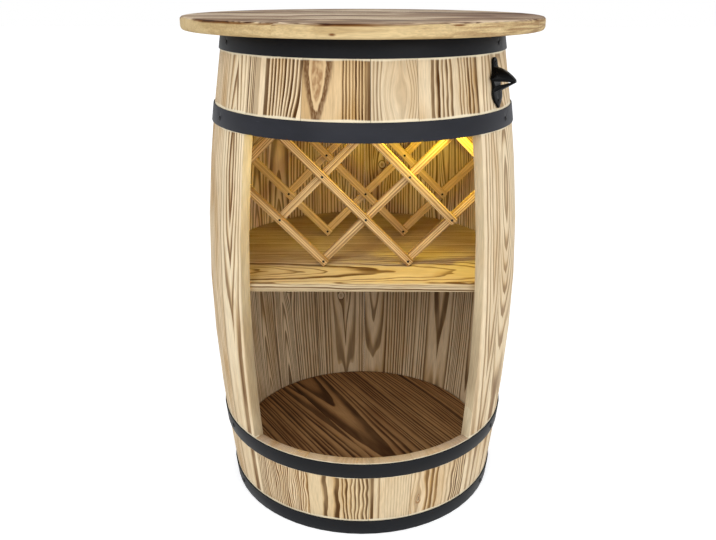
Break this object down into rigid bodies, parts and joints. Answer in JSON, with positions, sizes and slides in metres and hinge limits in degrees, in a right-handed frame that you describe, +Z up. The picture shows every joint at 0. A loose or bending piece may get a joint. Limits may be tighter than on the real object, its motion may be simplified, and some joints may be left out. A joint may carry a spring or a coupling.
{
  "type": "barrel bar cabinet",
  "caption": "Barrel bar cabinet with an open front, a round tabletop, a shelf and a diamond lattice rack for lying bottles.",
  "frame": {"origin": "centre of the barrel at the level it stands on", "axes": "+Z up, open front towards -Y, +X to the right seen from the front"},
  "size_m": [0.573, 0.573, 0.82],
  "materials": {
    "stave_wood": "softwood, burnt and brushed so that the grain stands out dark, clear satin",
    "top_wood": "edge-joined softwood, brushed, satin",
    "shelf_wood": "planed softwood, satin",
    "floor_wood": "burnt softwood boards",
    "hidden_wood": "sawn softwood",
    "slat_wood": "planed softwood, satin",
    "hoop_paint": "dark charcoal satin paint on flat strip steel",
    "black_steel": "blackened screws",
    "casting": "black cast iron",
    "lamp_plastic": "white plastic with a warm light"
  },
  "bodies": {
    "root": {"stave_front_upper_1": "stave_wood", "stave_front_upper_2": "stave_wood", "stave_front_upper_3": "stave_wood", "stave_front_upper_4": "stave_wood", "stave_front_lower_1": "stave_wood", "stave_front_lower_2": "stave_wood", "stave_front_lower_3": "stave_wood", "stave_front_lower_4": "stave_wood", "stave_01": "stave_wood", "stave_02": "stave_wood", "stave_03": "stave_wood", "stave_04": "stave_wood", "stave_05": "stave_wood", "stave_06": "stave_wood", "stave_07": "stave_wood", "stave_08": "stave_wood", "stave_09": "stave_wood", "stave_10": "stave_wood", "stave_11": "stave_wood", "stave_12": "stave_wood", "hoop_top": "hoop_paint", "hoop_upper": "hoop_paint", "hoop_lower": "hoop_paint", "hoop_bottom": "hoop_paint", "hoop_top_screw_left": "black_steel", "hoop_top_screw_right": "black_steel", "hoop_upper_screw_left": "black_steel", "hoop_upper_screw_right": "black_steel", "hoop_lower_screw_left": "black_steel", "hoop_lower_screw_right": "black_steel", "hoop_bottom_screw_left": "black_steel", "hoop_bottom_screw_right": "black_steel", "opener_screw_upper": "black_steel", "opener_screw_lower": "black_steel", "bottle_opener": "casting", "floor_board_left": "floor_wood", "floor_board_middle": "floor_wood", "floor_board_right": "floor_wood", "top_board_1": "top_wood", "top_board_2": "top_wood", "top_board_3": "top_wood", "top_board_4": "top_wood", "top_board_5": "top_wood", "top_batten_left": "hidden_wood", "top_batten_right": "hidden_wood", "shelf_cleat_left": "hidden_wood", "shelf_cleat_right": "hidden_wood", "shelf_cleat_back": "hidden_wood", "rack_top_rail": "hidden_wood", "shelf": "shelf_wood", "rack_slat_falling_1": "slat_wood", "rack_slat_falling_2": "slat_wood", "rack_slat_falling_3": "slat_wood", "rack_slat_falling_4": "slat_wood", "rack_slat_rising_1": "slat_wood", "rack_slat_rising_2": "slat_wood", "rack_slat_rising_3": "slat_wood", "rack_slat_rising_4": "slat_wood", "rear_rack": "slat_wood", "lamp": "lamp_plastic"}
  },
  "joints": []
}
